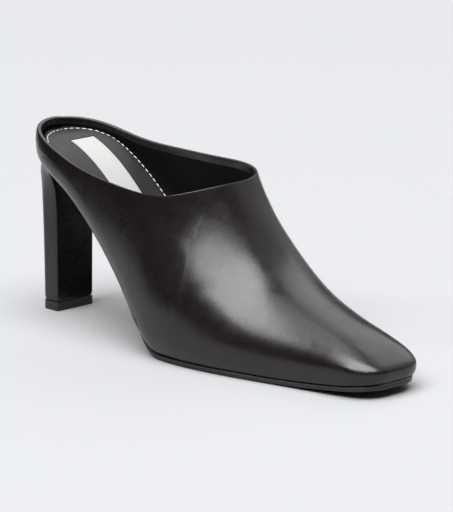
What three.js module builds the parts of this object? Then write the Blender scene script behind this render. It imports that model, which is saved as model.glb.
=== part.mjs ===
// A closed-toe leather mule on a slim block heel: a right shoe of about EU size 38.
// Units are millimetres. +X runs from the heel to the toe, -Y is the outer (little toe) side and +Z is up.
// The shoe stands on z = 0, on the flat tread of its sole and on the top piece of its heel.
//
// The last is one function. Its plan outline is a round heel cap, two sides and a square toe cap. A ratio
// "rho" is 0 on the spine and 1 on the feather line, where the upper meets the sole, so every ring of the
// upper is a level of rho. Above the feather line the wall bulges, then arches over to the crest.
import * as THREE from "three";

// ---- Driving dimensions -------------------------------------------------------------------------------
const LENGTH = 228; // back of the heel seat to the tip of the toe, at the feather line
const WALL = 2; // upper leather with its lining
const GAP = 0.3; // between two pieces that meet
const SOLE = 3; // outsole at the tread
const WAIST_SOLE = 2; // outsole under the arch
const TREAD_START = 110; // flat tread, from here ...
const TREAD_END = 166; // ... to here
const TOE_SPRING = 4.2; // how far the sole lifts at the tip
const TOP_PIECE = 4.2; // thickness of the heel's top piece
const BREAST = 17; // where the outsole ends and the heel's breast begins, under the seat
const THROAT = 126; // front of the collar opening, on the crest
const HEEL_CAP = 27; // length of the round end of the plan outline
const TOE_CAP = 25; // length of the square end of the plan outline
const TOE_SQUARENESS = 3.4; // exponent of the toe's superellipse: 2 is round, higher is squarer
const TUCK_START = THREE.MathUtils.degToRad(28); // how far round its quarter ellipse the wall starts

// Bottom edge of the last above the tread plane, from the back of the seat to the ball.
const SHANK = [
  { x: 0, rise: 73.6 },
  { x: 12, rise: 71.8 },
  { x: 23, rise: 68.3 },
  { x: 34, rise: 62.8 },
  { x: 46, rise: 54.2 },
  { x: 58, rise: 43.6 },
  { x: 70, rise: 32 },
  { x: 82, rise: 20 },
  { x: 91, rise: 10.4 },
  { x: 100, rise: 3.4 },
  { x: TREAD_START, rise: 0 },
];

// A soft hollow under the front of the collar on both sides, above the swell of the ball: where it is deepest
// along the shoe, how far it spreads behind and ahead of there, and how far down it reaches from the collar.
const HOLLOW = { x: 123, depth: 3.2, behind: 11, ahead: 17, reach: 54 };

// Half widths of the feather line on the outer and inner sides of the spine.
const WIDTHS = [
  { x: 0, outer: 24, inner: 22 },
  { x: 27, outer: 24.5, inner: 22.5 },
  { x: 45, outer: 25.5, inner: 23.5 },
  { x: 65, outer: 26.5, inner: 24.5 },
  { x: 85, outer: 30, inner: 27 },
  { x: 105, outer: 35, inner: 33.5 },
  { x: 120, outer: 36.4, inner: 37 },
  { x: 135, outer: 35.4, inner: 38.2 },
  { x: 150, outer: 33, inner: 37 },
  { x: 168, outer: 29, inner: 32.6 },
  { x: 186, outer: 25, inner: 27.4 },
  { x: 203, outer: 21.8, inner: 23 },
  { x: 228, outer: 18.5, inner: 19 },
];

// How far the wall bulges past the feather line, how high above it, and the crest of the last.
// Behind the throat the crest is the foot's own instep, above the collar. "side" and "top" are the
// exponents of the arch: under 1 is boxier, over 1 is more pointed.
const ARCH = [
  { x: 0, bulge: 1.8, belly: 9, crest: 112, drift: 0, side: 1, top: 1 },
  { x: 27, bulge: 2.8, belly: 9, crest: 116, drift: 0, side: 1, top: 1 },
  { x: 60, bulge: 4.3, belly: 13, crest: 124, drift: 0, side: 1, top: 1 },
  { x: 88, bulge: 4.4, belly: 14, crest: 120, drift: 0.5, side: 1, top: 1 },
  { x: 108, bulge: 3.2, belly: 12, crest: 105, drift: 1, side: 1, top: 1 },
  { x: THROAT, bulge: 2.4, belly: 10, crest: 80.8, drift: 1.2, side: 1, top: 1.03 },
  { x: 134, bulge: 2.1, belly: 9, crest: 67.8, drift: 1.2, side: 1, top: 1.06 },
  { x: 146, bulge: 1.9, belly: 8.4, crest: 51, drift: 1.2, side: 1, top: 1.05 },
  { x: 159, bulge: 1.7, belly: 7.8, crest: 40.2, drift: 1, side: 0.98, top: 1.01 },
  { x: 173, bulge: 1.4, belly: 7, crest: 34, drift: 0.8, side: 0.94, top: 0.97 },
  { x: 190, bulge: 1.2, belly: 6, crest: 28.8, drift: 0.6, side: 0.88, top: 0.93 },
  { x: 209, bulge: 1.1, belly: 5, crest: 23.6, drift: 0.3, side: 0.78, top: 0.87 },
  { x: 228, bulge: 1, belly: 4.2, crest: 17, drift: 0, side: 0.7, top: 0.82 },
];

// Height of the collar's edge along the outer and inner sides.
const COLLAR = [
  { x: 0, outer: 92.8, inner: 92 },
  { x: 10, outer: 90.8, inner: 89.6 },
  { x: 24, outer: 86.6, inner: 85.6 },
  { x: 42, outer: 81, inner: 83 },
  { x: 64, outer: 76.8, inner: 82.6 },
  { x: 88, outer: 75.1, inner: 82.8 },
  { x: 110, outer: 76.1, inner: 82.6 },
  { x: THROAT, outer: 80.8, inner: 80.8 },
];

// Height of the insole's surface above the feather line.
const FOOTBED = [
  { x: 0, depth: 11 },
  { x: 24, depth: 10.5 },
  { x: 60, depth: 8.2 },
  { x: 100, depth: 6 },
  { x: 150, depth: 4 },
  { x: 228, depth: 3 },
];

// The heel block, by its share of the way up: its back and front edges, its half width, and its back corners'
// radii along the shoe and across it.
const HEEL = [
  { up: 0, back: 1.8, front: 13, half: 11.6, long: 3.5, round: 3.5 },
  { up: 0.4, back: 1.5, front: 13.3, half: 11.8, long: 3.8, round: 3.8 },
  { up: 0.7, back: 1.3, front: 13.6, half: 12.4, long: 4.2, round: 4.2 },
  { up: 0.84, back: 1.2, front: 14, half: 14, long: 6.5, round: 6 },
  { up: 0.93, back: 1, front: 14.8, half: 17.2, long: 12.5, round: 11.5 },
  { up: 1, back: 0.6, front: BREAST, half: 22, long: 26, round: 22 },
];
const HEEL_FRONT_ROUND = 1.2; // radius of the block's two front edges

const LEATHER = { color: 0x1d1918, roughness: 0.32, metalness: 0 };
const SOCK = { color: 0x3a3a3d, roughness: 0.45, metalness: 0 };
const SOLE_EDGE = { color: 0x0f0f11, roughness: 0.4, metalness: 0 };
const RUBBER = { color: 0x121214, roughness: 0.6, metalness: 0 };

// ---- Tools --------------------------------------------------------------------------------------------

// A smooth curve through the rows of a table, as a function of one column. Its ends are free, or flat.
function curve(rows, from, to, flatEnd = false) {
  const xs = rows.map((row) => row[from]);
  const ys = rows.map((row) => row[to]);
  const n = xs.length;
  const bend = new Array(n).fill(0);
  const factor = new Array(n).fill(0);
  for (let i = 1; i < n; i += 1) {
    const h0 = xs[i] - xs[i - 1];
    const slope0 = (ys[i] - ys[i - 1]) / h0;
    if (i === n - 1) {
      if (flatEnd) bend[i] = (-6 * slope0 - h0 * factor[i - 1]) / (h0 * (2 + bend[i - 1]));
      else bend[i] = 0;
      factor[i] = bend[i];
      continue;
    }
    const h1 = xs[i + 1] - xs[i];
    const slope1 = (ys[i + 1] - ys[i]) / h1;
    const p = 2 * (h0 + h1) + h0 * bend[i - 1];
    bend[i] = -h1 / p;
    factor[i] = (6 * (slope1 - slope0) - h0 * factor[i - 1]) / p;
  }
  const second = new Array(n).fill(0);
  second[n - 1] = factor[n - 1];
  for (let i = n - 2; i >= 0; i -= 1) second[i] = bend[i] * second[i + 1] + factor[i];
  return (x) => {
    let i = 1;
    while (i < n - 1 && x > xs[i]) i += 1;
    const h = xs[i] - xs[i - 1];
    const a = (xs[i] - x) / h;
    const b = 1 - a;
    const swell = ((a ** 3 - a) * second[i - 1] + (b ** 3 - b) * second[i]) * ((h * h) / 6);
    return a * ys[i - 1] + b * ys[i] + swell;
  };
}

const clamp = THREE.MathUtils.clamp;
const lerp = THREE.MathUtils.lerp;
const QUARTER = Math.PI / 2;

// A whole mesh from points and faces of four corners that face outwards.
function solid(name, points, faces, look) {
  const positions = [];
  for (const [a, b, c, d] of faces) {
    // A bent face is split along its shorter diagonal.
    const across = points[a].distanceToSquared(points[c]) > points[b].distanceToSquared(points[d]);
    const corners = across ? [a, b, d, b, c, d] : [a, b, c, a, c, d];
    for (const corner of corners) positions.push(...points[corner].toArray());
  }
  const geometry = new THREE.BufferGeometry();
  geometry.setAttribute("position", new THREE.Float32BufferAttribute(positions, 3));
  geometry.computeVertexNormals();
  const mesh = new THREE.Mesh(geometry, new THREE.MeshStandardMaterial(look));
  mesh.name = name;
  return mesh;
}

// ---- The last -----------------------------------------------------------------------------------------

const shankRise = curve(SHANK, "x", "rise", true);
const outerWidth = curve(WIDTHS, "x", "outer");
const innerWidth = curve(WIDTHS, "x", "inner");
const bulgeAt = curve(ARCH, "x", "bulge");
const bellyAt = curve(ARCH, "x", "belly");
const crestAt = curve(ARCH, "x", "crest");
const driftAt = curve(ARCH, "x", "drift");
const sideAt = curve(ARCH, "x", "side");
const topAt = curve(ARCH, "x", "top");
const outerCollar = curve(COLLAR, "x", "outer");
const innerCollar = curve(COLLAR, "x", "inner");
const footbedDepth = curve(FOOTBED, "x", "depth");

// Height of the last's bottom edge above the tread plane.
function rise(x) {
  if (x < TREAD_START) return shankRise(x);
  if (x < TREAD_END) return 0;
  return TOE_SPRING * ((x - TREAD_END) / (LENGTH - TREAD_END)) ** 2;
}

const featherHeight = (x) => SOLE + GAP + rise(x);
const halfWidth = (x, side) => (side < 0 ? outerWidth(x) : innerWidth(x));
const collarHeight = (x, side) => (side < 0 ? outerCollar(x) : innerCollar(x));

// The spine drifts towards the inner side with height, so the crest of the instep lies inside the middle.
const spineShift = (x, rho) => driftAt(x) * (1 - clamp(rho, 0, 1) ** 2);

// A station is a place on the plan outline: its side, its spine point and its share along and across the cap.
function sideStation(x, side) {
  return { side, x, along: 0, across: 1, cap: 0 };
}
function heelStation(angle, side) {
  return { side, x: HEEL_CAP, along: -Math.sin(angle), across: Math.cos(angle), cap: HEEL_CAP };
}
function toeStation(angle, side) {
  const power = 2 / TOE_SQUARENESS;
  const along = Math.sin(angle) ** power;
  const across = Math.max(Math.cos(angle), 0) ** power;
  return { side, x: LENGTH - TOE_CAP, along, across, cap: TOE_CAP };
}

// Plan position of a ring of the last at a station, where reach is millimetres past the rho ring.
function planPoint(station, rho, reach = 0) {
  const x = station.x + station.along * (station.cap * rho + reach);
  const width = (halfWidth(x, station.side) * rho + reach) * station.across;
  return { x, y: station.side * width + spineShift(x, rho) };
}

// The wall from the feather line (turn 0) out and up to its belly (turn 1).
function lowerWall(station, turn) {
  const angle = lerp(TUCK_START, QUARTER, turn);
  const start = Math.sin(TUCK_START);
  const out = (Math.sin(angle) - start) / (1 - start);
  const up = 1 - Math.cos(angle) / Math.cos(TUCK_START);
  const foot = planPoint(station, 1);
  const plan = planPoint(station, 1, bulgeAt(foot.x) * out);
  return new THREE.Vector3(plan.x, plan.y, featherHeight(plan.x) + bellyAt(plan.x) * up);
}

// Height of the arch at a plan x, for an angle from the belly (0) to the crest (a quarter turn).
function archHeight(x, angle) {
  const belly = featherHeight(x) + bellyAt(x);
  return belly + (crestAt(x) - belly) * Math.sin(angle) ** topAt(x);
}

// The arch from the belly (angle 0) over to the crest (a quarter turn).
function upperWall(station, angle) {
  const foot = planPoint(station, 1);
  const share = Math.max(Math.cos(angle), 0) ** sideAt(foot.x);
  const plan = planPoint(station, share, bulgeAt(foot.x) * share);
  return new THREE.Vector3(plan.x, plan.y, archHeight(plan.x, angle));
}

// The angle at which the collar's edge crosses the arch of a station behind the throat.
function collarAngle(station) {
  let low = 0;
  let high = QUARTER;
  for (let i = 0; i < 40; i += 1) {
    const middle = (low + high) / 2;
    const point = upperWall(station, middle);
    if (point.z < collarHeight(clamp(point.x, 0, THROAT), station.side)) low = middle;
    else high = middle;
  }
  return (low + high) / 2;
}

// Height of the vamp's top over a plan point in front of the throat.
function vampHeight(x, y) {
  let rho = 0;
  let reach = 0;
  for (let i = 0; i < 8; i += 1) {
    const offset = y - spineShift(x, rho);
    const side = offset < 0 ? -1 : 1;
    const across = Math.abs(offset) / (halfWidth(x, side) + bulgeAt(x));
    const along = Math.max(0, x - (LENGTH - TOE_CAP)) / (TOE_CAP + bulgeAt(x));
    reach = (along ** TOE_SQUARENESS + across ** TOE_SQUARENESS) ** (1 / TOE_SQUARENESS);
    rho = clamp(reach, 0, 1);
  }
  const angle = Math.acos(rho ** (1 / sideAt(x)));
  return archHeight(x, angle);
}

// ---- The upper: walls all round, and the vamp's top in front of the throat -----------------------------

const HEEL_STEPS = 8;
const QUARTER_STEPS = 26; // stations from the heel cap to the throat
const VAMP_STEPS = 12; // stations from the throat to the toe cap
const CORNER_STEPS = 4; // stations on the toe cap up to its corner
const LOWER_STEPS = 3; // rings from the feather line to the belly
const UPPER_STEPS = 4; // rings from the belly to the edge of the vamp's top
const TOP_STEPS = 8; // columns of the vamp's top, on each side of its crest
const WALL_SHARE = 0.36; // share of the arch's angle that the walls take
const RINGS = LOWER_STEPS + UPPER_STEPS;

// Stations of one side, from the back of the heel to the middle of the toe.
function stationsOf(side) {
  const list = [];
  for (let i = 0; i < HEEL_STEPS; i += 1) list.push(heelStation(QUARTER * (1 - i / HEEL_STEPS), side));
  for (let i = 0; i < QUARTER_STEPS; i += 1) {
    const left = 1 - i / QUARTER_STEPS;
    const eased = 0.05 * left + 0.95 * left * left; // closer together towards the throat
    list.push(sideStation(THROAT - (THROAT - HEEL_CAP) * eased, side));
  }
  for (let i = 0; i < VAMP_STEPS; i += 1) {
    list.push(sideStation(lerp(THROAT, LENGTH - TOE_CAP, i / VAMP_STEPS), side));
  }
  const toeSteps = CORNER_STEPS + TOP_STEPS;
  for (let i = 0; i <= toeSteps; i += 1) {
    const half = i < CORNER_STEPS ? i / CORNER_STEPS / 2 : 0.5 + (i - CORNER_STEPS) / TOP_STEPS / 2;
    list.push(toeStation(QUARTER * half, side));
  }
  return list;
}

// The outer skin as a grid: points, faces, and its two open edges.
function outerSkin() {
  const points = [];
  const faces = [];
  const add = (point) => points.push(point) - 1;
  const throatIndex = HEEL_STEPS + QUARTER_STEPS;
  const cornerIndex = throatIndex + VAMP_STEPS + CORNER_STEPS;

  // One column of rings for each station; behind the throat it goes on up to the collar.
  function column(station, index) {
    const open = index < throatIndex;
    const limit = open ? collarAngle(station) : QUARTER;
    const rings = [];
    for (let i = 0; i < LOWER_STEPS; i += 1) rings.push(add(lowerWall(station, i / LOWER_STEPS)));
    for (let i = 0; i <= UPPER_STEPS; i += 1) {
      rings.push(add(upperWall(station, limit * WALL_SHARE * (i / UPPER_STEPS))));
    }
    if (index <= throatIndex) {
      for (let i = 1; i <= TOP_STEPS; i += 1) {
        const share = lerp(WALL_SHARE, 1, i / TOP_STEPS);
        if (index === throatIndex && i === TOP_STEPS && station.side > 0) break;
        rings.push(add(upperWall(station, limit * share)));
      }
    }
    return rings;
  }

  const outer = stationsOf(-1).map(column);
  const inner = stationsOf(1).map((station, index, all) => {
    if (index === 0) return outer[0];
    if (index === all.length - 1) return outer[index];
    return column(station, index);
  });
  inner[throatIndex].push(outer[throatIndex][RINGS + TOP_STEPS]);

  // Walls between neighbouring columns.
  for (const [columns, flip] of [[outer, false], [inner, true]]) {
    for (let i = 1; i < columns.length; i += 1) {
      const rings = i <= throatIndex ? RINGS + TOP_STEPS : RINGS;
      for (let k = 0; k < rings; k += 1) {
        const face = [columns[i - 1][k], columns[i][k], columns[i][k + 1], columns[i - 1][k + 1]];
        faces.push(flip ? face.reverse() : face);
      }
    }
  }

  // The vamp's top fills the loop of wall tops in front of the throat, row by row towards the toe.
  const columnsAcross = 2 * TOP_STEPS;
  const rows = cornerIndex - throatIndex;
  const first = [];
  for (let i = 0; i <= TOP_STEPS; i += 1) first.push(outer[throatIndex][RINGS + i]);
  for (let i = TOP_STEPS - 1; i >= 0; i -= 1) first.push(inner[throatIndex][RINGS + i]);
  const last = [];
  for (let i = 0; i <= TOP_STEPS; i += 1) last.push(outer[cornerIndex + i][RINGS]);
  for (let i = TOP_STEPS - 1; i >= 0; i -= 1) last.push(inner[cornerIndex + i][RINGS]);
  let previous = first;
  for (let row = 1; row <= rows; row += 1) {
    const v = row / rows;
    const left = outer[throatIndex + row][RINGS];
    const right = inner[throatIndex + row][RINGS];
    const current = row === rows ? last : [];
    for (let i = 0; row < rows && i <= columnsAcross; i += 1) {
      if (i === 0 || i === columnsAcross) {
        current.push(i === 0 ? left : right);
        continue;
      }
      const u = i / columnsAcross;
      // Each plan coordinate is blended between the four edges of the patch.
      const blend = (axis) => {
        const at = (index) => points[index][axis];
        const sides = lerp(at(left), at(right), u);
        const ends = lerp(at(first[i]), at(last[i]), v);
        const low = lerp(at(first[0]), at(first[columnsAcross]), u);
        const high = lerp(at(last[0]), at(last[columnsAcross]), u);
        return sides + ends - lerp(low, high, v);
      };
      const x = blend("x");
      const y = blend("y");
      current.push(add(new THREE.Vector3(x, y, vampHeight(x, y))));
    }
    for (let i = 0; i < columnsAcross; i += 1) {
      faces.push([previous[i], current[i], current[i + 1], previous[i + 1]]);
    }
    previous = current;
  }

  const feather = [...outer.map((rings) => rings[0]), ...inner.slice(1, -1).reverse().map((rings) => rings[0])];
  const rear = (columns) => columns.slice(0, throatIndex + 1).map((rings) => rings[RINGS + TOP_STEPS]);
  const collar = [...rear(outer), ...rear(inner).slice(1, -1).reverse()];
  return { points, faces, feather, collar };
}

// The unit normal at every point of a grid, from the areas of the faces around it.
function normalsOf(points, faces) {
  const normals = points.map(() => new THREE.Vector3());
  for (const [a, b, c, d] of faces) {
    const across = points[c].clone().sub(points[a]);
    const along = points[d].clone().sub(points[b]);
    const normal = across.cross(along);
    for (const corner of [a, b, c, d]) normals[corner].add(normal);
  }
  return normals.map((normal) => normal.normalize());
}

// Presses the hollow into a skin. It starts at the collar's edge, is deepest a third of its reach below the
// edge and fades out smoothly at its foot and towards the crest.
function pressHollow(skin) {
  const normals = normalsOf(skin.points, skin.faces);
  skin.points.forEach((point, i) => {
    const edge = collarHeight(clamp(point.x, 0, THROAT), point.y < 0 ? -1 : 1);
    const down = clamp((edge - point.z) / HOLLOW.reach, 0, 1);
    const profile = (27 / 4) * down * (1 - down) ** 2;
    const spread = point.x < HOLLOW.x ? HOLLOW.behind : HOLLOW.ahead;
    const along = Math.exp(-(((point.x - HOLLOW.x) / spread) ** 2) / 2);
    const sideways = clamp(1.25 * Math.abs(normals[i].y), 0, 1);
    point.addScaledVector(normals[i], -HOLLOW.depth * profile * along * sideways);
  });
  return skin;
}

// The upper is the skin and its inward offset, joined along the feather line and the collar.
function makeUpper(skin) {
  const normals = normalsOf(skin.points, skin.faces);
  const count = skin.points.length;
  const inside = skin.points.map((point, i) => point.clone().addScaledVector(normals[i], -WALL));
  for (const index of skin.feather) inside[index].z = skin.points[index].z; // the lasted edge is cut level
  const faces = [...skin.faces, ...skin.faces.map((face) => face.map((i) => i + count).reverse())];
  const close = (loop, flip) => {
    loop.forEach((a, i) => {
      const b = loop[(i + 1) % loop.length];
      const face = [a, a + count, b + count, b];
      faces.push(flip ? face.reverse() : face);
    });
  };
  close(skin.feather, false);
  close(skin.collar, true);
  return solid("upper", [...skin.points, ...inside], faces, LEATHER);
}

// ---- Plates: the insole and the outsole ---------------------------------------------------------------

// A plate with a top and a bottom. Each row gives its x, its edge on both sides and its two heights, and
// the rows run from the back to the front. A level has a row for each station and columns across.
function plate(name, rows, across, look) {
  const points = [];
  const faces = [];
  const levels = [[], []];
  for (const row of rows) {
    [row.bottom, row.top].forEach((level, k) => {
      const line = [];
      for (let i = 0; i <= across; i += 1) {
        const share = i / across;
        const edge = Math.abs(2 * share - 1) ** 4; // the surface turns up towards its edges
        const x = lerp(level.outer.x, level.inner.x, share) + (level.middle ?? 0) * (1 - edge);
        const y = lerp(level.outer.y, level.inner.y, share);
        line.push(points.push(new THREE.Vector3(x, y, level.height(x) + (level.cup ?? 0) * edge)) - 1);
      }
      levels[k].push(line);
    });
  }
  const [bottom, top] = levels;
  for (let r = 1; r < rows.length; r += 1) {
    for (let i = 0; i < across; i += 1) {
      faces.push([top[r - 1][i], top[r][i], top[r][i + 1], top[r - 1][i + 1]]);
      faces.push([bottom[r - 1][i + 1], bottom[r][i + 1], bottom[r][i], bottom[r - 1][i]]);
    }
    faces.push([bottom[r - 1][0], bottom[r][0], top[r][0], top[r - 1][0]]);
    faces.push([top[r - 1][across], top[r][across], bottom[r][across], bottom[r - 1][across]]);
  }
  const end = rows.length - 1;
  for (let i = 0; i < across; i += 1) {
    faces.push([bottom[0][i + 1], bottom[0][i], top[0][i], top[0][i + 1]]);
    faces.push([bottom[end][i], bottom[end][i + 1], top[end][i + 1], top[end][i]]);
  }
  return solid(name, points, faces, look);
}

// The stations of a plate's plan outline, from its back edge to the toe.
function plateStations(back, heelSteps, sideSteps) {
  const list = [];
  const first = Math.asin((HEEL_CAP - back) / HEEL_CAP);
  for (let i = 0; i < heelSteps; i += 1) list.push((side) => heelStation(first * (1 - i / heelSteps), side));
  for (let i = 0; i < sideSteps; i += 1) {
    list.push((side) => sideStation(lerp(HEEL_CAP, LENGTH - TOE_CAP, i / sideSteps), side));
  }
  const toeSteps = 7;
  for (let i = 0; i <= toeSteps; i += 1) {
    list.push((side) => toeStation((QUARTER * 0.93 * i) / toeSteps, side));
  }
  return list;
}

function makeInsole() {
  const clear = WALL + GAP + 0.3;
  const rows = plateStations(0.12, 7, 24).map((at) => {
    const edge = (side, reach) => planPoint(at(side), 1, reach);
    const x = edge(-1, 0).x;
    const wallOut = bulgeAt(x) * 0.8;
    return {
      bottom: { outer: edge(-1, -clear), inner: edge(1, -clear), height: (s) => featherHeight(s) + GAP },
      top: {
        outer: edge(-1, wallOut - clear),
        inner: edge(1, wallOut - clear),
        height: (s) => featherHeight(s) + footbedDepth(s) - 0.6,
        cup: 0.6,
      },
    };
  });
  return plate("insole", rows, 8, SOCK);
}

function makeOutsole() {
  const rows = plateStations(BREAST + GAP, 3, 32).map((at) => {
    const x = planPoint(at(-1), 1).x;
    const waist = THREE.MathUtils.smoothstep(TREAD_START - 4 - x, 0, 30); // 1 under the arch, 0 at the tread
    const edge = (side, reach) => planPoint(at(side), 1, reach);
    const thickness = lerp(SOLE, WAIST_SOLE, waist);
    const reach = lerp(0.4, -1, waist) - 0.6 * THREE.MathUtils.smoothstep(x, LENGTH - 40, LENGTH - 8);
    const tuck = lerp(0.3, 2.5, waist);
    return {
      bottom: {
        outer: edge(-1, reach - tuck),
        inner: edge(1, reach - tuck),
        height: (s) => rise(s) + SOLE - thickness,
      },
      top: { outer: edge(-1, reach), inner: edge(1, reach), height: (s) => rise(s) + SOLE },
    };
  });
  return plate("outsole", rows, 6, SOLE_EDGE);
}

// ---- The heel and its top piece -----------------------------------------------------------------------

const ROUND_STEPS = 6;
const FRONT_STEPS = 3;

// Half of a level's outline from the middle of its back to the middle of its front.
function heelOutline({ back, front, half, long, round }) {
  const list = [];
  const room = front - HEEL_FRONT_ROUND - back;
  const end = Math.acos(1 - Math.min(room / long, 1)); // a long corner is cut short by the front
  for (let i = 0; i <= ROUND_STEPS; i += 1) {
    const angle = end * (i / ROUND_STEPS);
    list.push({ x: back + long * (1 - Math.cos(angle)), y: half - round * (1 - Math.sin(angle)) });
  }
  const side = list[ROUND_STEPS].y;
  for (let i = 1; i <= FRONT_STEPS; i += 1) {
    const angle = QUARTER * (i / FRONT_STEPS);
    list.push({
      x: front - HEEL_FRONT_ROUND * (1 - Math.sin(angle)),
      y: side - HEEL_FRONT_ROUND * (1 - Math.cos(angle)),
    });
  }
  return list;
}

// A block from a list of levels, each half an outline and a height for every point of it.
function block(name, levels, look) {
  const points = [];
  const faces = [];
  const loops = levels.map(({ outline, height }) => {
    const place = (point, side) => points.push(new THREE.Vector3(point.x, side * point.y, height(point.x))) - 1;
    return { outer: outline.map((p) => place(p, -1)), inner: outline.map((p) => place(p, 1)) };
  });
  const steps = loops[0].outer.length - 1;
  for (let k = 1; k < loops.length; k += 1) {
    const [a, b] = [loops[k - 1], loops[k]];
    for (let i = 0; i < steps; i += 1) {
      faces.push([a.outer[i], a.outer[i + 1], b.outer[i + 1], b.outer[i]]);
      faces.push([b.inner[i], b.inner[i + 1], a.inner[i + 1], a.inner[i]]);
    }
    faces.push([a.inner[0], a.outer[0], b.outer[0], b.inner[0]]);
    faces.push([a.outer[steps], a.inner[steps], b.inner[steps], b.outer[steps]]);
  }
  const [low, high] = [loops[0], loops[loops.length - 1]];
  for (let i = 0; i < steps; i += 1) {
    faces.push([low.outer[i], low.inner[i], low.inner[i + 1], low.outer[i + 1]]);
    faces.push([high.outer[i], high.outer[i + 1], high.inner[i + 1], high.inner[i]]);
  }
  return solid(name, points, faces, look);
}

function makeHeel() {
  const names = ["back", "front", "half", "long", "round"];
  const columns = Object.fromEntries(names.map((column) => [column, curve(HEEL, "up", column)]));
  const top = heelOutline(HEEL[HEEL.length - 1]);
  const base = TOP_PIECE + GAP;
  const levels = [];
  for (const up of [0, 0.2, 0.4, 0.58, 0.7, 0.78, 0.84, 0.89, 0.93, 0.965, 1]) {
    const row = Object.fromEntries(Object.entries(columns).map(([column, at]) => [column, at(up)]));
    const outline = heelOutline(row);
    // Every point climbs towards its own place on the seat, so the upper levels lean with it.
    const heights = top.map((point) => lerp(base, featherHeight(point.x) - GAP, up));
    levels.push({ outline, height: (x) => heights[outline.findIndex((point) => point.x === x)] });
  }
  return block("heel", levels, LEATHER);
}

function makeTopPiece() {
  const outline = heelOutline(HEEL[0]);
  const levels = [0, TOP_PIECE].map((z) => ({ outline, height: () => z }));
  return block("heel_top_piece", levels, RUBBER);
}

// ---- The shoe -----------------------------------------------------------------------------------------

const shoe = new THREE.Group();
shoe.add(makeUpper(pressHollow(outerSkin())), makeInsole(), makeOutsole(), makeHeel(), makeTopPiece());

// The origin is the middle of the shoe's footprint, on the floor.
const box = new THREE.Box3().setFromObject(shoe);
const middle = box.getCenter(new THREE.Vector3());
shoe.position.set(-middle.x, -middle.y, 0);

export default shoe;
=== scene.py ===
"""The finished look of a closed-toe leather mule on a slim covered heel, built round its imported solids.

The solids give the last, the sole and the heel. Each one is copied, merged and worked up here: the leather
is turned over the collar, the lining, the insole's stitches and its blank label are added, and the sole's
edge is trimmed. Everything is in metres. +X is the toe, -Y the outer side of this right shoe, +Z is up.
"""

import math

import bmesh
import bpy
from bpy.props import FloatProperty, FloatVectorProperty, PointerProperty
from mathutils import Matrix, Vector
from mathutils.bvhtree import BVHTree
from mathutils.kdtree import KDTree


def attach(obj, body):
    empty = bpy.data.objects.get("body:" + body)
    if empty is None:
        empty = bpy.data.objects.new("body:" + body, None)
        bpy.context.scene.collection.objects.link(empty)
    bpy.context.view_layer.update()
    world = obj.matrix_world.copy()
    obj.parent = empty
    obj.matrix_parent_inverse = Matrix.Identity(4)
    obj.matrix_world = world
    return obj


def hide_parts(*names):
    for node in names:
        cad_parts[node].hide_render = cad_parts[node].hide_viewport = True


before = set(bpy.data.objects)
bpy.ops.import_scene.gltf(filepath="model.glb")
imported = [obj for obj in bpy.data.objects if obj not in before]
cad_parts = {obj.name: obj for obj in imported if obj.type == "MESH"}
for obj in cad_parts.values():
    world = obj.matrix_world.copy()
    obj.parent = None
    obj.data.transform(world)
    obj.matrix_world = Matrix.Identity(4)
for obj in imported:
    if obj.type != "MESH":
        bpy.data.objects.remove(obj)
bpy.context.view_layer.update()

bl_info = {
    "name": "Leather Mule Finisher",
    "version": (1, 0, 0),
    "blender": (4, 5, 0),
    "location": "View3D > Sidebar > Mule",
    "description": "Finishes a heeled mule's solids with leather, lining, stitches and a stage",
    "category": "Object",
}

MM = 0.001
SHARP = math.radians(50)  # steeper edges than this part one side of a wall from another
BENT = math.radians(24)  # flatter edges than this lie on an open stretch of a wall
FINE = 0.5 * MM  # edges shorter than this lie on a small round
PUSH_SHARE = 0.8  # part of the way that a corner is pushed out in each round of rounding off
STEP = 0.3 * MM  # spacing of the points on a line that distances are measured to
ABOVE = 0.2  # a height over the whole shoe, from which places are dropped

CALF_RELIEF = 0.012 * MM  # height of the fine grain on the black leather
LINING_LIFT = 0.02 * MM  # gap between the upper's inside and its lining
SOCK_ROUND = 0.7 * MM  # rounding of the insole's upper edge
GROOVE_HALF_WIDTH = 0.55 * MM  # the groove that the stitches lie in
GROOVE_DEPTH = 0.25 * MM
SEAT_SLIT = 0.35 * MM  # clearance round the label in its seat
SEAT_WALL = 0.06 * MM  # how far the seat's wall leans over its depth
SEAT_DEPTH = 0.5 * MM
SEAT_MARGIN = 4 * MM  # faces further than this from the label's ends are left uncut
THREAD_WIDTH = 0.62 * MM
THREAD_HEIGHT = 0.5 * MM
THREAD_LIFT = 0.12 * MM  # how far a stitch's middle stands over the groove
LABEL_THICKNESS = 0.38 * MM
LABEL_GAP = 0.04 * MM
EDGE_GROOVE_DEPTH = 0.35 * MM  # the groove round the outsole's edge
LIGHT_DISTANCE = 10  # metres from the shoe to each light
SHOE_MIDDLE = Vector((0, 0, 40 * MM))  # what the lights face


# ---- Sizes and finishes ---------------------------------------------------------------------------------


def length(name, description, default):
    """A size of the shoe, in metres."""
    return FloatProperty(name=name, description=description, default=default, unit="LENGTH")


def colour(name, description, default):
    """A colour of one of the shoe's finishes."""
    return FloatVectorProperty(
        name=name, description=description, subtype="COLOR", default=default, min=0, max=1
    )


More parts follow.
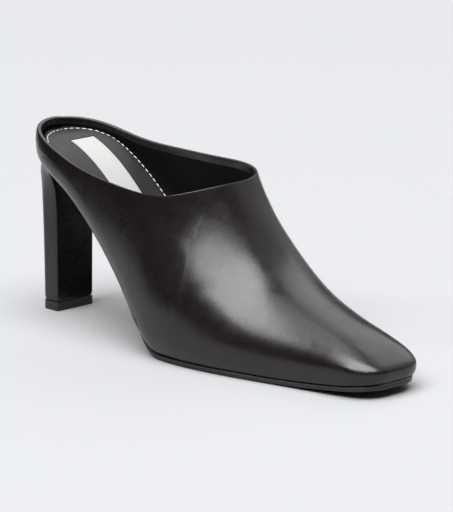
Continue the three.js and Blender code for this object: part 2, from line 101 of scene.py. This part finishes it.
class MuleSizes(bpy.types.PropertyGroup):
    """Sizes of what is added to the shoe's solids."""

    rim_roll: length("Rim roll", "Radius of the leather where it is turned over the collar", 0.8 * MM)
    facing_depth: length(
        "Facing depth", "How far the turned leather reaches down inside the collar", 2.8 * MM
    )
    lining_thickness: length(
        "Lining thickness", "Thickness of the lining, which starts below the turned leather", 0.25 * MM
    )
    stitch_length: length("Stitch length", "Length of one stitch round the insole", 2.3 * MM)
    stitch_pitch: length("Stitch pitch", "Distance from one stitch to the next", 3.1 * MM)
    stitch_inset: length("Stitch inset", "Distance from the insole's edge to its stitches", 2.6 * MM)
    label_length: length("Label length", "Length of the blank label on the insole", 58 * MM)
    label_width: length("Label width", "Width of the blank label on the insole", 14.2 * MM)
    label_start: length("Label start", "Place of the label's rear edge along the shoe", -97.3 * MM)
    label_middle: length("Label middle", "Place of the label's middle line across the shoe", 1.8 * MM)


class MuleFinish(bpy.types.PropertyGroup):
    """Colours and surface of the shoe's materials."""

    leather: colour("Leather", "Colour of the upper's and the heel's leather", (0.0066, 0.0046, 0.0053))
    leather_roughness: FloatProperty(
        name="Leather roughness",
        description="Roughness of the polished leather",
        default=0.27,
        min=0,
        max=1,
        subtype="FACTOR",
    )
    grain_size: length("Grain size", "Size of one pebble of the leather's fine grain", 0.45 * MM)
    lining: colour("Lining", "Colour of the lining", (0.0022, 0.0022, 0.0025))
    sock: colour("Insole leather", "Colour of the leather that covers the insole", (0.013, 0.013, 0.0138))
    thread: colour("Thread", "Colour of the insole's stitches", (0.6, 0.585, 0.55))
    label: colour("Label", "Colour of the blank label", (0.33, 0.328, 0.32))
    sole_edge: colour("Sole edge", "Colour of the painted edge of the sole", (0.012, 0.012, 0.0126))
    floor: colour("Floor", "Colour of the studio floor", (0.315, 0.32, 0.329))


# ---- Working on a mesh ----------------------------------------------------------------------------------


def take_up(piece):
    """Selects this piece alone and makes it the active one."""
    if bpy.context.object and bpy.context.object.mode != "OBJECT":
        bpy.ops.object.mode_set(mode="OBJECT")
    bpy.ops.object.select_all(action="DESELECT")
    piece.select_set(True)
    bpy.context.view_layer.objects.active = piece


def finish_with(piece, kind, **settings):
    """Adds a modifier of a kind to the piece and applies it."""
    take_up(piece)
    modifier = piece.modifiers.new(kind.title(), kind)
    for name, value in settings.items():
        setattr(modifier, name, value)
    bpy.ops.object.modifier_apply(modifier=modifier.name)


def round_off(piece, levels):
    """Subdivides the piece into a smooth surface that still passes through most of its own corners."""
    shape = edit(piece)
    is_open = [
        all(e.calc_length() > FINE and e.calc_face_angle(math.pi) < BENT for e in vert.link_edges)
        for vert in shape.verts
    ]
    settle(shape, piece)
    goals = [vert.co.copy() for vert in piece.data.vertices]
    for _ in range(2):
        trial = new_piece("trial", piece.data.copy())
        finish_with(trial, "SUBSURF", levels=1, render_levels=1)
        for number, (vert, goal) in enumerate(zip(piece.data.vertices, goals)):
            push = goal - trial.data.vertices[number].co
            if is_open[number] and push.length < FINE:
                vert.co += push * PUSH_SHARE
        bpy.data.objects.remove(trial)
    finish_with(piece, "SUBSURF", levels=levels, render_levels=levels)


def new_piece(name, mesh):
    """An object for a mesh, in the scene."""
    piece = bpy.data.objects.new(name, mesh)
    bpy.context.scene.collection.objects.link(piece)
    return piece


def copy_solid(node, name):
    """A merged copy of one of the shoe's solids, in faces of four corners where it can be."""
    piece = new_piece(name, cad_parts[node].data.copy())
    piece.data.materials.clear()
    take_up(piece)
    bpy.ops.mesh.customdata_custom_splitnormals_clear()
    bpy.ops.object.mode_set(mode="EDIT")
    bpy.ops.mesh.select_all(action="SELECT")
    bpy.ops.mesh.remove_doubles(threshold=0.001 * MM)
    bpy.ops.mesh.tris_convert_to_quads(face_threshold=math.radians(60), shape_threshold=math.radians(80))
    bpy.ops.mesh.tris_convert_to_quads(face_threshold=math.pi, shape_threshold=math.pi)
    bpy.ops.object.mode_set(mode="OBJECT")
    return piece


def edit(piece):
    """The piece's mesh, ready to be changed in code."""
    shape = bmesh.new()
    shape.from_mesh(piece.data)
    if "crease_edge" not in shape.edges.layers.float:
        shape.edges.layers.float.new("crease_edge")
    for table in (shape.verts, shape.edges, shape.faces):
        table.ensure_lookup_table()
    return shape


def settle(shape, piece):
    """Puts a changed mesh back in its piece."""
    shape.to_mesh(piece.data)
    shape.free()
    piece.data.update()


def walls_of(shape):
    """The mesh's faces in groups that sharp edges part, the largest first."""
    left = set(shape.faces)
    walls = []
    while left:
        seed = min(left, key=lambda face: face.index)
        left.discard(seed)
        wall, queue = [seed], [seed]
        while queue:
            for edge in queue.pop().edges:
                if edge.calc_face_angle(math.pi) > SHARP:
                    continue
                for face in edge.link_faces:
                    if face in left:
                        left.discard(face)
                        wall.append(face)
                        queue.append(face)
        walls.append(wall)
    return sorted(walls, key=len, reverse=True)


def edges_between(first, second):
    """The edges that two groups of faces share."""
    second = set(second)
    edges = {edge for face in first for edge in face.edges}
    return {edge for edge in edges if any(near in second for near in edge.link_faces)}


def layers_of(shape):
    """The upper side, the underside and the edge faces of a flat solid."""
    walls = walls_of(shape)
    top = max(walls[:2], key=lambda wall: sum(face.normal.z for face in wall))
    bottom = min(walls[:2], key=lambda wall: sum(face.normal.z for face in wall))
    sides = [face for wall in walls if wall is not top and wall is not bottom for face in wall]
    return top, bottom, sides


def round_edges(shape, edges, radius):
    """Rounds some edges over; new faces take the outside's material."""
    bmesh.ops.bevel(
        shape,
        geom=list(edges),
        offset=radius,
        segments=2,
        profile=0.5,
        affect="EDGES",
        clamp_overlap=True,
        material=0,
    )


def crease_edges(shape, edges, amount=1.0):
    """Marks edges that stay crisp when the surface is subdivided."""
    layer = shape.edges.layers.float["crease_edge"]
    for edge in edges:
        edge[layer] = amount


def cut_at_level(shape, level, amounts):
    """Cuts the faces where a measure of the surface passes a level, and returns the cut's points."""
    fresh = []
    for edge in list(shape.edges):
        first, second = (amounts[vert] - level for vert in edge.verts)
        if first * second >= 0:
            continue
        _, vert = bmesh.utils.edge_split(edge, edge.verts[0], first / (first - second))
        amounts[vert] = level
        fresh.append(vert)
    on_line = set(fresh)
    for face in dict.fromkeys(face for vert in fresh for face in vert.link_faces):
        ends = [vert for vert in face.verts if vert in on_line]
        if len(ends) == 2:
            bmesh.ops.connect_verts(shape, verts=ends)
    return fresh


def loops_round(faces):
    """The closed lines round a group of faces, as points in order, the longest first."""
    group = set(faces)
    rim = [e for f in faces for e in f.edges if sum(near in group for near in e.link_faces) == 1]
    following = {}
    for edge in rim:
        for vert in edge.verts:
            following.setdefault(vert, []).append(edge.other_vert(vert))
    loops = []
    left = dict.fromkeys(following)
    while left:
        vert = next(iter(left))
        loop = []
        while vert is not None:
            left.pop(vert)
            loop.append(vert.co.copy())
            vert = next((near for near in following[vert] if near in left), None)
        loops.append(loop)
    return sorted(loops, key=len, reverse=True)


def nearest_on(points):
    """A search tree of points, spaced closely along their closed line."""
    dense = []
    for start, end in zip(points, points[1:] + points[:1]):
        steps = max(1, math.ceil((end - start).length / STEP))
        dense += [start.lerp(end, step / steps) for step in range(steps)]
    tree = KDTree(len(dense))
    for number, point in enumerate(dense):
        tree.insert(point, number)
    tree.balance()
    return tree


def inset_line(points, inset):
    """A closed line seen from above, moved towards its inside."""
    count = len(points)
    area = sum(p.x * q.y - q.x * p.y for p, q in zip(points, points[1:] + points[:1]))
    turn = 1 if area > 0 else -1
    moved = []
    for number, point in enumerate(points):
        along = points[(number + 1) % count] - points[number - 1]
        inwards = Vector((-along.y, along.x, 0)).normalized() * turn
        moved.append(point + inwards * inset)
    return moved


def paced_out(points, pitch):
    """Places at an even pitch along a closed line."""
    lengths = [(q - p).length for p, q in zip(points, points[1:] + points[:1])]
    total = sum(lengths)
    count = round(total / pitch)
    places = []
    number, passed = 0, 0.0
    for step in range(count):
        goal = step * total / count
        while passed + lengths[number] < goal:
            passed += lengths[number]
            number += 1
        share = (goal - passed) / lengths[number]
        places.append(points[number].lerp(points[(number + 1) % len(points)], share))
    return places


def surface_of(piece):
    """The piece's surface, for finding the point on it below a place."""
    take_up(piece)
    return BVHTree.FromObject(piece, bpy.context.evaluated_depsgraph_get())


def drop_on(surface, place):
    """The point and the upward normal of a surface straight below a place."""
    point, normal, _, _ = surface.ray_cast(Vector((place.x, place.y, ABOVE)), Vector((0, 0, -1)))
    if point is None:
        raise RuntimeError(f"nothing lies below {tuple(place)}")
    return point, normal if normal.z > 0 else -normal


def shade(piece, angle):
    """Smooth shading, with edges sharper than the angle kept."""
    take_up(piece)
    bpy.ops.object.shade_smooth_by_angle(angle=math.radians(angle))


def done(piece, slot, material, *nodes):
    """Gives the piece its material and its place in the shoe."""
    if not piece.data.materials:
        piece.data.materials.append(material)
    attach(piece, "root")
    if nodes:
        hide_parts(*nodes)
    return piece


# ---- Materials ------------------------------------------------------------------------------------------


class Recipe:
    """A material being mixed: short names for its nodes and links."""

    def __init__(self, name):
        self.material = bpy.data.materials.new(name)
        self.material.use_nodes = True
        self.tree = self.material.node_tree
        self.shader = self.tree.nodes["Principled BSDF"]
        self.place = self.node("ShaderNodeTexCoord").outputs["Object"]

    def node(self, kind, **settings):
        node = self.tree.nodes.new(kind)
        for name, value in settings.items():
            if name in node.inputs:
                node.inputs[name].default_value = value
            else:
                setattr(node, name, value)
        return node

    def link(self, start, end):
        self.tree.links.new(start, end)

    def noise(self, size, detail=3, roughness=0.5):
        """Soft clouds of about the given size in metres."""
        node = self.node("ShaderNodeTexNoise", Scale=1 / size, Detail=detail, Roughness=roughness)
        self.link(self.place, node.inputs["Vector"])
        return node.outputs["Fac"]

    def pebbles(self, size):
        """Leather pebbles of the given size in metres, 0 in the middle of each one."""
        node = self.node("ShaderNodeTexVoronoi", Scale=1 / size, feature="SMOOTH_F1")
        self.link(self.place, node.inputs["Vector"])
        return node.outputs["Distance"]

    def spread(self, source, low, high, start=0.3, end=0.7):
        """Maps a share of a pattern to a range of values."""
        node = self.node("ShaderNodeMapRange")
        for name, value in (("From Min", start), ("From Max", end), ("To Min", low), ("To Max", high)):
            node.inputs[name].default_value = value
        self.link(source, node.inputs["Value"])
        return node.outputs["Result"]

    def tint(self, source, first, second):
        """A colour that goes from the first to the second with a pattern."""
        node = self.node("ShaderNodeMix", data_type="RGBA")
        node.inputs["A"].default_value = (*first, 1)
        node.inputs["B"].default_value = (*second, 1)
        self.link(source, node.inputs["Factor"])
        return node.outputs["Result"]

    def relief(self, source, height, before=None):
        """Raises the surface by a pattern, on top of an earlier relief."""
        node = self.node("ShaderNodeBump", Distance=height, Strength=1)
        self.link(source, node.inputs["Height"])
        if before is not None:
            self.link(before, node.inputs["Normal"])
        return node.outputs["Normal"]

    def set(self, **values):
        """Fixed values on the shader, by its sockets' names with underscores."""
        for name, value in values.items():
            self.shader.inputs[name.replace("_", " ")].default_value = value


def scaled(colour, share):
    """A colour made lighter or darker."""
    return tuple(min(1.0, channel * share) for channel in colour)


def leather_material(name, colour, roughness, grain, depth, shine=0.5):
    """Smooth polished calf leather with a fine grain, faint streaks of wax and a slightly uneven dye."""
    mix = Recipe(name)
    clouds = mix.noise(28 * MM, 3)
    colours = mix.tint(mix.spread(clouds, 0, 1), scaled(colour, 0.86), scaled(colour, 1.22))
    mix.link(colours, mix.shader.inputs["Base Color"])
    wax = mix.noise(7 * MM, 4, 0.6)
    mix.link(mix.spread(wax, roughness - 0.035, roughness + 0.05), mix.shader.inputs["Roughness"])
    waves = mix.relief(mix.noise(9 * MM, 2), 0.015 * MM)
    pebbled = mix.relief(mix.pebbles(grain), depth, waves)
    pores = mix.relief(mix.noise(grain * 0.35, 2), depth * 0.5, pebbled)
    mix.link(pores, mix.shader.inputs["Normal"])
    mix.set(IOR=1.5, Specular_IOR_Level=shine)
    return mix.material


def black_calf(name, finish):
    """The polished leather of the upper and the heel."""
    return leather_material(name, finish.leather, finish.leather_roughness, finish.grain_size, CALF_RELIEF)


def thread_material(finish):
    """Waxed cotton thread, with a fine twist."""
    mix = Recipe("waxed_thread")
    fibres = mix.noise(0.35 * MM, 3)
    colours = mix.tint(fibres, scaled(finish.thread, 0.8), scaled(finish.thread, 1.1))
    mix.link(colours, mix.shader.inputs["Base Color"])
    mix.link(mix.relief(fibres, 0.05 * MM), mix.shader.inputs["Normal"])
    mix.set(Roughness=0.7, Sheen_Weight=0.25, Sheen_Roughness=0.4)
    return mix.material


def label_material(finish):
    """Off-white coated leather, flat and faintly grained."""
    mix = Recipe("blank_label_leather")
    clouds = mix.noise(6 * MM, 3)
    colours = mix.tint(clouds, scaled(finish.label, 0.95), scaled(finish.label, 1.03))
    mix.link(colours, mix.shader.inputs["Base Color"])
    mix.link(mix.spread(mix.noise(3 * MM, 3), 0.42, 0.56), mix.shader.inputs["Roughness"])
    mix.link(mix.relief(mix.pebbles(0.5 * MM), 0.015 * MM), mix.shader.inputs["Normal"])
    return mix.material


def sole_edge_material(finish):
    """Painted and burnished sole leather, with faint fibres along the edge."""
    mix = Recipe("painted_sole_edge")
    stretched = mix.node("ShaderNodeMapping")
    stretched.inputs["Scale"].default_value = (1, 1, 9)
    mix.link(mix.place, stretched.inputs["Vector"])
    fibres = mix.node("ShaderNodeTexNoise", Scale=1 / (4 * MM), Detail=4)
    mix.link(stretched.outputs["Vector"], fibres.inputs["Vector"])
    streaks = fibres.outputs["Fac"]
    colours = mix.tint(streaks, scaled(finish.sole_edge, 0.7), scaled(finish.sole_edge, 1.5))
    mix.link(colours, mix.shader.inputs["Base Color"])
    mix.link(mix.spread(streaks, 0.3, 0.46), mix.shader.inputs["Roughness"])
    mix.link(mix.relief(streaks, 0.03 * MM), mix.shader.inputs["Normal"])
    return mix.material


def tread_material():
    """Matte rubber, finely pebbled, with dust in its scuffs."""
    mix = Recipe("tread_rubber")
    scuffs = mix.noise(5 * MM, 5, 0.65)
    colours = mix.tint(mix.spread(scuffs, 0, 1, 0.45, 0.75), (0.012, 0.012, 0.013), (0.032, 0.031, 0.03))
    mix.link(colours, mix.shader.inputs["Base Color"])
    mix.link(mix.spread(scuffs, 0.48, 0.68), mix.shader.inputs["Roughness"])
    pebbled = mix.relief(mix.pebbles(0.6 * MM), 0.03 * MM)
    mix.link(pebbled, mix.shader.inputs["Normal"])
    return mix.material


def floor_material(finish):
    """Plain pale studio paper."""
    mix = Recipe("studio_paper")
    fibres = mix.noise(1.5 * MM, 3)
    colours = mix.tint(fibres, scaled(finish.floor, 0.995), scaled(finish.floor, 1.005))
    mix.link(colours, mix.shader.inputs["Base Color"])
    mix.set(Roughness=0.85)
    return mix.material


# ---- The pieces -----------------------------------------------------------------------------------------


class OBJECT_OT_mule_upper(bpy.types.Operator):
    """Makes the leather upper, turned over its collar, and the lining inside it"""

    bl_idname = "object.mule_upper"
    bl_label = "Upper and lining"

    def execute(self, context):
        sizes = context.scene.mule_sizes
        finish = context.scene.mule_finish
        upper = copy_solid("upper", "upper_leather")
        leather = black_calf("black_calf", finish)
        lining_leather = leather_material("lining_leather", finish.lining, 0.5, 0.6 * MM, 0.02 * MM, 0.12)
        upper.data.materials.append(leather)
        upper.data.materials.append(lining_leather)

        shape = edit(upper)
        first, second, feather, rim = walls_of(shape)[:4]
        # The outside of the wall reaches further than its inside.
        inner, outer = sorted((first, second), key=lambda wall: max(f.calc_center_median().y for f in wall))
        crease_edges(shape, edges_between(feather, outer) | edges_between(feather, inner))
        for face in inner:
            face.material_index = 1
        roll = edges_between(rim, outer) | edges_between(rim, inner)
        round_edges(shape, roll, sizes.rim_roll)
        settle(shape, upper)
        round_off(upper, 2)
        lining = self.make_lining(upper, sizes, lining_leather)
        upper.data.materials.pop(index=1)
        shade(upper, 60)
        done(upper, "upper", leather, "upper")
        shade(lining, 60)
        done(lining, "upper", lining_leather)
        return {"FINISHED"}

    def make_lining(self, upper, sizes, material):
        """A thin sheet on the inside of the upper, from just below its turned edge."""
        lining = new_piece("upper_lining", upper.data.copy())
        shape = edit(lining)
        others = [face for face in shape.faces if face.material_index != 1]
        bmesh.ops.delete(shape, geom=others, context="FACES")
        shape.faces.ensure_lookup_table()
        for face in shape.faces:
            face.material_index = 0
        rims = sorted(loops_round(shape.faces), key=lambda loop: -sum(p.z for p in loop) / len(loop))
        collar = nearest_on(rims[0])
        depths = {vert: collar.find(vert.co)[2] for vert in shape.verts}
        cut_at_level(shape, sizes.facing_depth, depths)
        above = [
            face
            for face in shape.faces
            if sum(depths[vert] for vert in face.verts) / len(face.verts) < sizes.facing_depth
        ]
        bmesh.ops.delete(shape, geom=above, context="FACES")
        shape.normal_update()
        for vert in shape.verts:
            vert.co += vert.normal * LINING_LIFT
        settle(shape, lining)
        lining.data.materials.clear()
        lining.data.materials.append(material)
        finish_with(lining, "SOLIDIFY", thickness=sizes.lining_thickness, offset=1, use_even_offset=True)
        return lining


class OBJECT_OT_mule_insole(bpy.types.Operator):
    """Makes the leather-covered insole with its sewn groove, its stitches and its blank label"""

    bl_idname = "object.mule_insole"
    bl_label = "Insole, stitches and label"

    def execute(self, context):
        sizes = context.scene.mule_sizes
        finish = context.scene.mule_finish
        sock = copy_solid("insole", "insole_sock")
        shape = edit(sock)
        top, bottom, sides = layers_of(shape)
        outline = loops_round(top)[0]
        crease_edges(shape, edges_between(bottom, sides))
        round_edges(shape, edges_between(top, sides), SOCK_ROUND)
        settle(shape, sock)
        round_off(sock, 2)
        self.press_groove(sock, outline, sizes)
        self.press_label_seat(sock, sizes)
        shade(sock, 40)
        sock_leather = leather_material("sock_leather", finish.sock, 0.42, 0.5 * MM, CALF_RELIEF, 0.3)
        done(sock, "insole", sock_leather, "insole")
        surface = surface_of(sock)
        self.sew(surface, outline, sizes, finish)
        self.stick_label(surface, sizes, finish)
        return {"FINISHED"}

    def press_groove(self, sock, outline, sizes):
        """A shallow groove that the stitches lie in."""
        shape = edit(sock)
        flat = [Vector((point.x, point.y, 0)) for point in outline]
        edge = nearest_on(flat)
        amounts = {}
        for vert in shape.verts:
            facing_up = vert.normal.z > 0.3
            amounts[vert] = edge.find(Vector((vert.co.x, vert.co.y, 0)))[2] if facing_up else -1.0
        for side in (-GROOVE_HALF_WIDTH, GROOVE_HALF_WIDTH):
            cut_at_level(shape, sizes.stitch_inset + side, amounts)
        for vert in cut_at_level(shape, sizes.stitch_inset, amounts):
            vert.co.z -= GROOVE_DEPTH
        settle(shape, sock)

    def label_box(self, sizes):
        """The label's ends and sides."""
        start, middle, half = sizes.label_start, sizes.label_middle, sizes.label_width / 2
        return (start, start + sizes.label_length), (middle - half, middle + half)

    def press_label_seat(self, sock, sizes):
        """A shallow seat with upright walls that the label is set in."""
        (back, front), (outer, inner) = self.label_box(sizes)
        shape = edit(sock)
        foot = SEAT_SLIT - SEAT_WALL
        cuts = []
        for place, towards in ((back, -1), (front, 1)):
            cuts += [((place + towards * away, 0, 0), (1, 0, 0)) for away in (SEAT_SLIT, foot)]
        for place, towards in ((outer, -1), (inner, 1)):
            cuts += [((0, place + towards * away, 0), (0, 1, 0)) for away in (SEAT_SLIT, foot)]
        for place, normal in cuts:
            near = [
                face
                for face in shape.faces
                if face.normal.z > 0.2
                and back - SEAT_MARGIN < face.calc_center_median().x < front + SEAT_MARGIN
                and abs(face.calc_center_median().y) < sizes.label_width
            ]
            edges = {edge for face in near for edge in face.edges}
            verts = {vert for face in near for vert in face.verts}
            bmesh.ops.bisect_plane(
                shape, geom=near + list(edges) + list(verts), plane_co=place, plane_no=normal, dist=1e-7
            )
            shape.faces.ensure_lookup_table()
        reach = foot + 1e-6
        for vert in shape.verts:
            x, y, _ = vert.co
            inside = back - reach < x < front + reach and outer - reach < y < inner + reach
            if inside and vert.normal.z > 0.2:
                vert.co.z -= SEAT_DEPTH
        settle(shape, sock)

    def sew(self, surface, outline, sizes, finish):
        """One stitch, copied all the way round the insole."""
        line = inset_line(outline, sizes.stitch_inset)
        places = paced_out(line, sizes.stitch_pitch)
        bpy.ops.object.select_all(action="DESELECT")
        bpy.ops.mesh.primitive_uv_sphere_add(segments=10, ring_count=6, radius=0.5)
        stitch = bpy.context.object
        take_up(stitch)
        bpy.ops.object.mode_set(mode="EDIT")
        bpy.ops.mesh.select_all(action="SELECT")
        bpy.ops.transform.rotate(value=math.pi / 2, orient_axis="Y", center_override=(0, 0, 0))
        bpy.ops.transform.resize(value=(sizes.stitch_length, THREAD_WIDTH, THREAD_HEIGHT))
        bpy.ops.object.mode_set(mode="OBJECT")
        copies = []
        for number, place in enumerate(places):
            point, normal = drop_on(surface, place)
            ahead, _ = drop_on(surface, places[(number + 1) % len(places)])
            behind, _ = drop_on(surface, places[number - 1])
            along = (ahead - behind).normalized()
            across = normal.cross(along).normalized()
            turn = Matrix((along, across, along.cross(across))).transposed().to_4x4()
            twin = new_piece("stitch", stitch.data.copy())
            twin.data.transform(Matrix.Translation(point + normal * THREAD_LIFT) @ turn)
            copies.append(twin)
        bpy.data.objects.remove(stitch)
        bpy.ops.object.select_all(action="DESELECT")
        for twin in copies:
            twin.select_set(True)
        bpy.context.view_layer.objects.active = copies[0]
        bpy.ops.object.join()
        stitches = bpy.context.object
        stitches.name = "insole_stitches"
        shade(stitches, 180)
        done(stitches, "insole", thread_material(finish))

    def stick_label(self, surface, sizes, finish):
        """A thin blank patch, set in its seat."""
        (back, front), (outer, inner) = self.label_box(sizes)
        bpy.ops.object.select_all(action="DESELECT")
        bpy.ops.mesh.primitive_grid_add(x_subdivisions=58, y_subdivisions=12, size=1)
        label = bpy.context.object
        label.name = "insole_label"
        shape = edit(label)
        for vert in shape.verts:
            x = back + (vert.co.x + 0.5) * (front - back)
            y = outer + (vert.co.y + 0.5) * (inner - outer)
            point, normal = drop_on(surface, Vector((x, y, 0)))
            vert.co = point + normal * LABEL_GAP
        settle(shape, label)
        finish_with(label, "SOLIDIFY", thickness=LABEL_THICKNESS, offset=1, use_even_offset=True)
        finish_with(
            label, "BEVEL", width=0.12 * MM, segments=2, limit_method="ANGLE", angle_limit=math.radians(60)
        )
        shade(label, 50)
        done(label, "insole", label_material(finish))


class OBJECT_OT_mule_outsole(bpy.types.Operator):
    """Makes the outsole with a groove round its painted edge"""

    bl_idname = "object.mule_outsole"
    bl_label = "Outsole"

    def execute(self, context):
        finish = context.scene.mule_finish
        sole = copy_solid("outsole", "outsole_leather")
        shape = edit(sole)
        top, bottom, sides = layers_of(shape)
        heights = {vert: 0.0 for vert in shape.verts}
        for face in top:
            for vert in face.verts:
                heights[vert] = 1.0
        rims = edges_between(top, sides) | edges_between(bottom, sides)
        crease_edges(shape, rims, 0.75)
        shape.normal_update()
        for level in (0.4, 0.52, 0.46):
            line = cut_at_level(shape, level, heights)
        shape.normal_update()
        for vert in line:
            vert.co -= vert.normal * EDGE_GROOVE_DEPTH
        settle(shape, sole)
        round_off(sole, 2)
        shade(sole, 50)
        done(sole, "outsole", sole_edge_material(finish), "outsole")
        return {"FINISHED"}


class OBJECT_OT_mule_heel(bpy.types.Operator):
    """Makes the leather-covered heel and its rubber top piece"""

    bl_idname = "object.mule_heel"
    bl_label = "Heel and top piece"

    def execute(self, context):
        finish = context.scene.mule_finish
        heel = copy_solid("heel", "heel_cover")
        shape = edit(heel)
        sharp = [edge for edge in shape.edges if edge.calc_face_angle(0) > SHARP]
        crease_edges(shape, sharp, 0.85)
        settle(shape, heel)
        round_off(heel, 3)
        shade(heel, 60)
        done(heel, "heel", black_calf("heel_calf", finish), "heel")

        lift = copy_solid("heel_top_piece", "heel_tread")
        finish_with(
            lift, "BEVEL", width=0.3 * MM, segments=3, limit_method="ANGLE", angle_limit=math.radians(50)
        )
        shade(lift, 40)
        done(lift, "heel_top_piece", tread_material(), "heel_top_piece")
        return {"FINISHED"}


class OBJECT_OT_mule_stage(bpy.types.Operator):
    """Makes the pale floor, the soft lights and the camera"""

    bl_idname = "object.mule_stage"
    bl_label = "Stage"

    def execute(self, context):
        finish = context.scene.mule_finish
        bpy.ops.object.select_all(action="DESELECT")
        bpy.ops.mesh.primitive_plane_add(size=60, location=(0, 0, -0.01 * MM))
        floor = bpy.context.object
        floor.name = "studio_floor"
        floor.data.materials.append(floor_material(finish))

        self.light_room(context.scene)
        softbox("key_softbox", (-65, 69), (8.8, 15.5), 3200, along=(0.37, 1, 0), shape="ELLIPSE")
        softbox("toe_softbox", (170, 68), (5, 6), 190, along=(0, 1, 0))
        softbox("back_softbox", (118, 40), (9, 6), 210, along=(0, 0, 1))
        softbox("inner_softbox", (82, 32), (14, 10), 230, along=(0, 0, 1))
        # Two black cards paint dark reflections in the leather: the first stands on edge beside the outer
        # side and darkens that side's reflections; the second lies in front of the heel and darkens the
        # heel's front.
        beside = from_side(-128, 0, 0.32) + Vector((0, 0, 0.076))
        self.black_card("side_card", beside, (1.1, 0.15), (math.pi / 2, 0, math.radians(-38)))
        ahead = Vector((0.141, 0.197, 0.001))
        self.black_card("heel_card", ahead, (0.6, 0.09), (0, 0, math.radians(41)))

        lens = bpy.data.cameras.new("camera")
        lens.lens = 253
        lens.sensor_width = 36
        lens.clip_start = 0.01
        camera = new_piece("camera", lens)
        camera.location = (1.17148, -1.11216, 0.44148)
        camera.rotation_euler = (math.radians(76.16), 0, math.radians(46.37))
        context.scene.camera = camera
        context.scene.view_settings.view_transform = "Standard"
        return {"FINISHED"}

    def black_card(self, name, place, size, turn):
        """A black card that only the polish of the leather sees: it paints a dark reflection and casts no
        shadow.
        """
        bpy.ops.object.select_all(action="DESELECT")
        bpy.ops.mesh.primitive_plane_add(size=1)
        card = bpy.context.object
        card.name = name
        card.scale = (*size, 1)
        card.location = place
        card.rotation_euler = turn
        # Hidden from the camera, from bounced light and from shadows, the card only paints a dark
        # reflection.
        card.visible_camera = False
        card.visible_diffuse = False
        card.visible_shadow = False
        dark_reflection = Recipe(name)
        dark_reflection.set(Base_Color=(0.002, 0.002, 0.002, 1), Roughness=1, Specular_IOR_Level=0)
        card.data.materials.append(dark_reflection.material)

    def light_room(self, scene):
        """A dim room, pale where it is looked at past the floor's end."""
        world = bpy.data.worlds.new("studio")
        scene.world = world
        world.use_nodes = True
        tree = world.node_tree
        dim = tree.nodes["Background"]
        dim.inputs["Color"].default_value = (0.93, 0.95, 1.0, 1)
        dim.inputs["Strength"].default_value = 0.07
        pale = tree.nodes.new("ShaderNodeBackground")
        pale.inputs["Color"].default_value = (0.87, 0.885, 0.92, 1)
        path = tree.nodes.new("ShaderNodeLightPath")
        both = tree.nodes.new("ShaderNodeMixShader")
        tree.links.new(path.outputs["Is Camera Ray"], both.inputs["Fac"])
        tree.links.new(dim.outputs["Background"], both.inputs[1])
        tree.links.new(pale.outputs["Background"], both.inputs[2])
        tree.links.new(both.outputs["Shader"], tree.nodes["World Output"].inputs["Surface"])


def from_side(azimuth, elevation, distance):
    """A place some way off, by angles in degrees: azimuth 0 is the toe's end and 90 the inner side."""
    turn, rise = math.radians(azimuth), math.radians(elevation)
    level = math.cos(rise)
    return Vector((math.cos(turn) * level, math.sin(turn) * level, math.sin(rise))) * distance


def softbox(name, side, size, power, along, shape="RECTANGLE"):
    """A large light that faces the shoe from an azimuth and elevation, with its height along a direction."""
    offset = from_side(*side, LIGHT_DISTANCE)
    light = bpy.data.lights.new(name, "AREA")
    light.shape = shape
    light.size, light.size_y = size
    light.energy = power
    lamp = new_piece(name, light)
    lamp.location = SHOE_MIDDLE + offset
    back = offset.normalized()
    across = Vector(along).cross(back).normalized()
    lamp.rotation_euler = Matrix((across, back.cross(across), back)).transposed().to_euler()


class VIEW3D_PT_mule(bpy.types.Panel):
    """The mule's sizes, its finishes and a button for each piece"""

    bl_label = "Leather mule"
    bl_space_type = "VIEW_3D"
    bl_region_type = "UI"
    bl_category = "Mule"

    def draw(self, context):
        layout = self.layout
        for settings in (context.scene.mule_sizes, context.scene.mule_finish):
            column = layout.column(align=True)
            for name in settings.bl_rna.properties.keys():
                if name not in ("rna_type", "name"):
                    column.prop(settings, name)
        for step in STEPS:
            layout.operator(step.bl_idname)


STEPS = (
    OBJECT_OT_mule_upper,
    OBJECT_OT_mule_insole,
    OBJECT_OT_mule_outsole,
    OBJECT_OT_mule_heel,
    OBJECT_OT_mule_stage,
)
CLASSES = (MuleSizes, MuleFinish, *STEPS, VIEW3D_PT_mule)


def register():
    for cls in CLASSES:
        bpy.utils.register_class(cls)
    bpy.types.Scene.mule_sizes = PointerProperty(type=MuleSizes)
    bpy.types.Scene.mule_finish = PointerProperty(type=MuleFinish)


def unregister():
    del bpy.types.Scene.mule_finish
    del bpy.types.Scene.mule_sizes
    for cls in reversed(CLASSES):
        bpy.utils.unregister_class(cls)


def main():
    register()
    bpy.ops.object.mule_upper()
    bpy.ops.object.mule_insole()
    bpy.ops.object.mule_outsole()
    bpy.ops.object.mule_heel()
    bpy.ops.object.mule_stage()


if __name__ == "__main__":
    main()
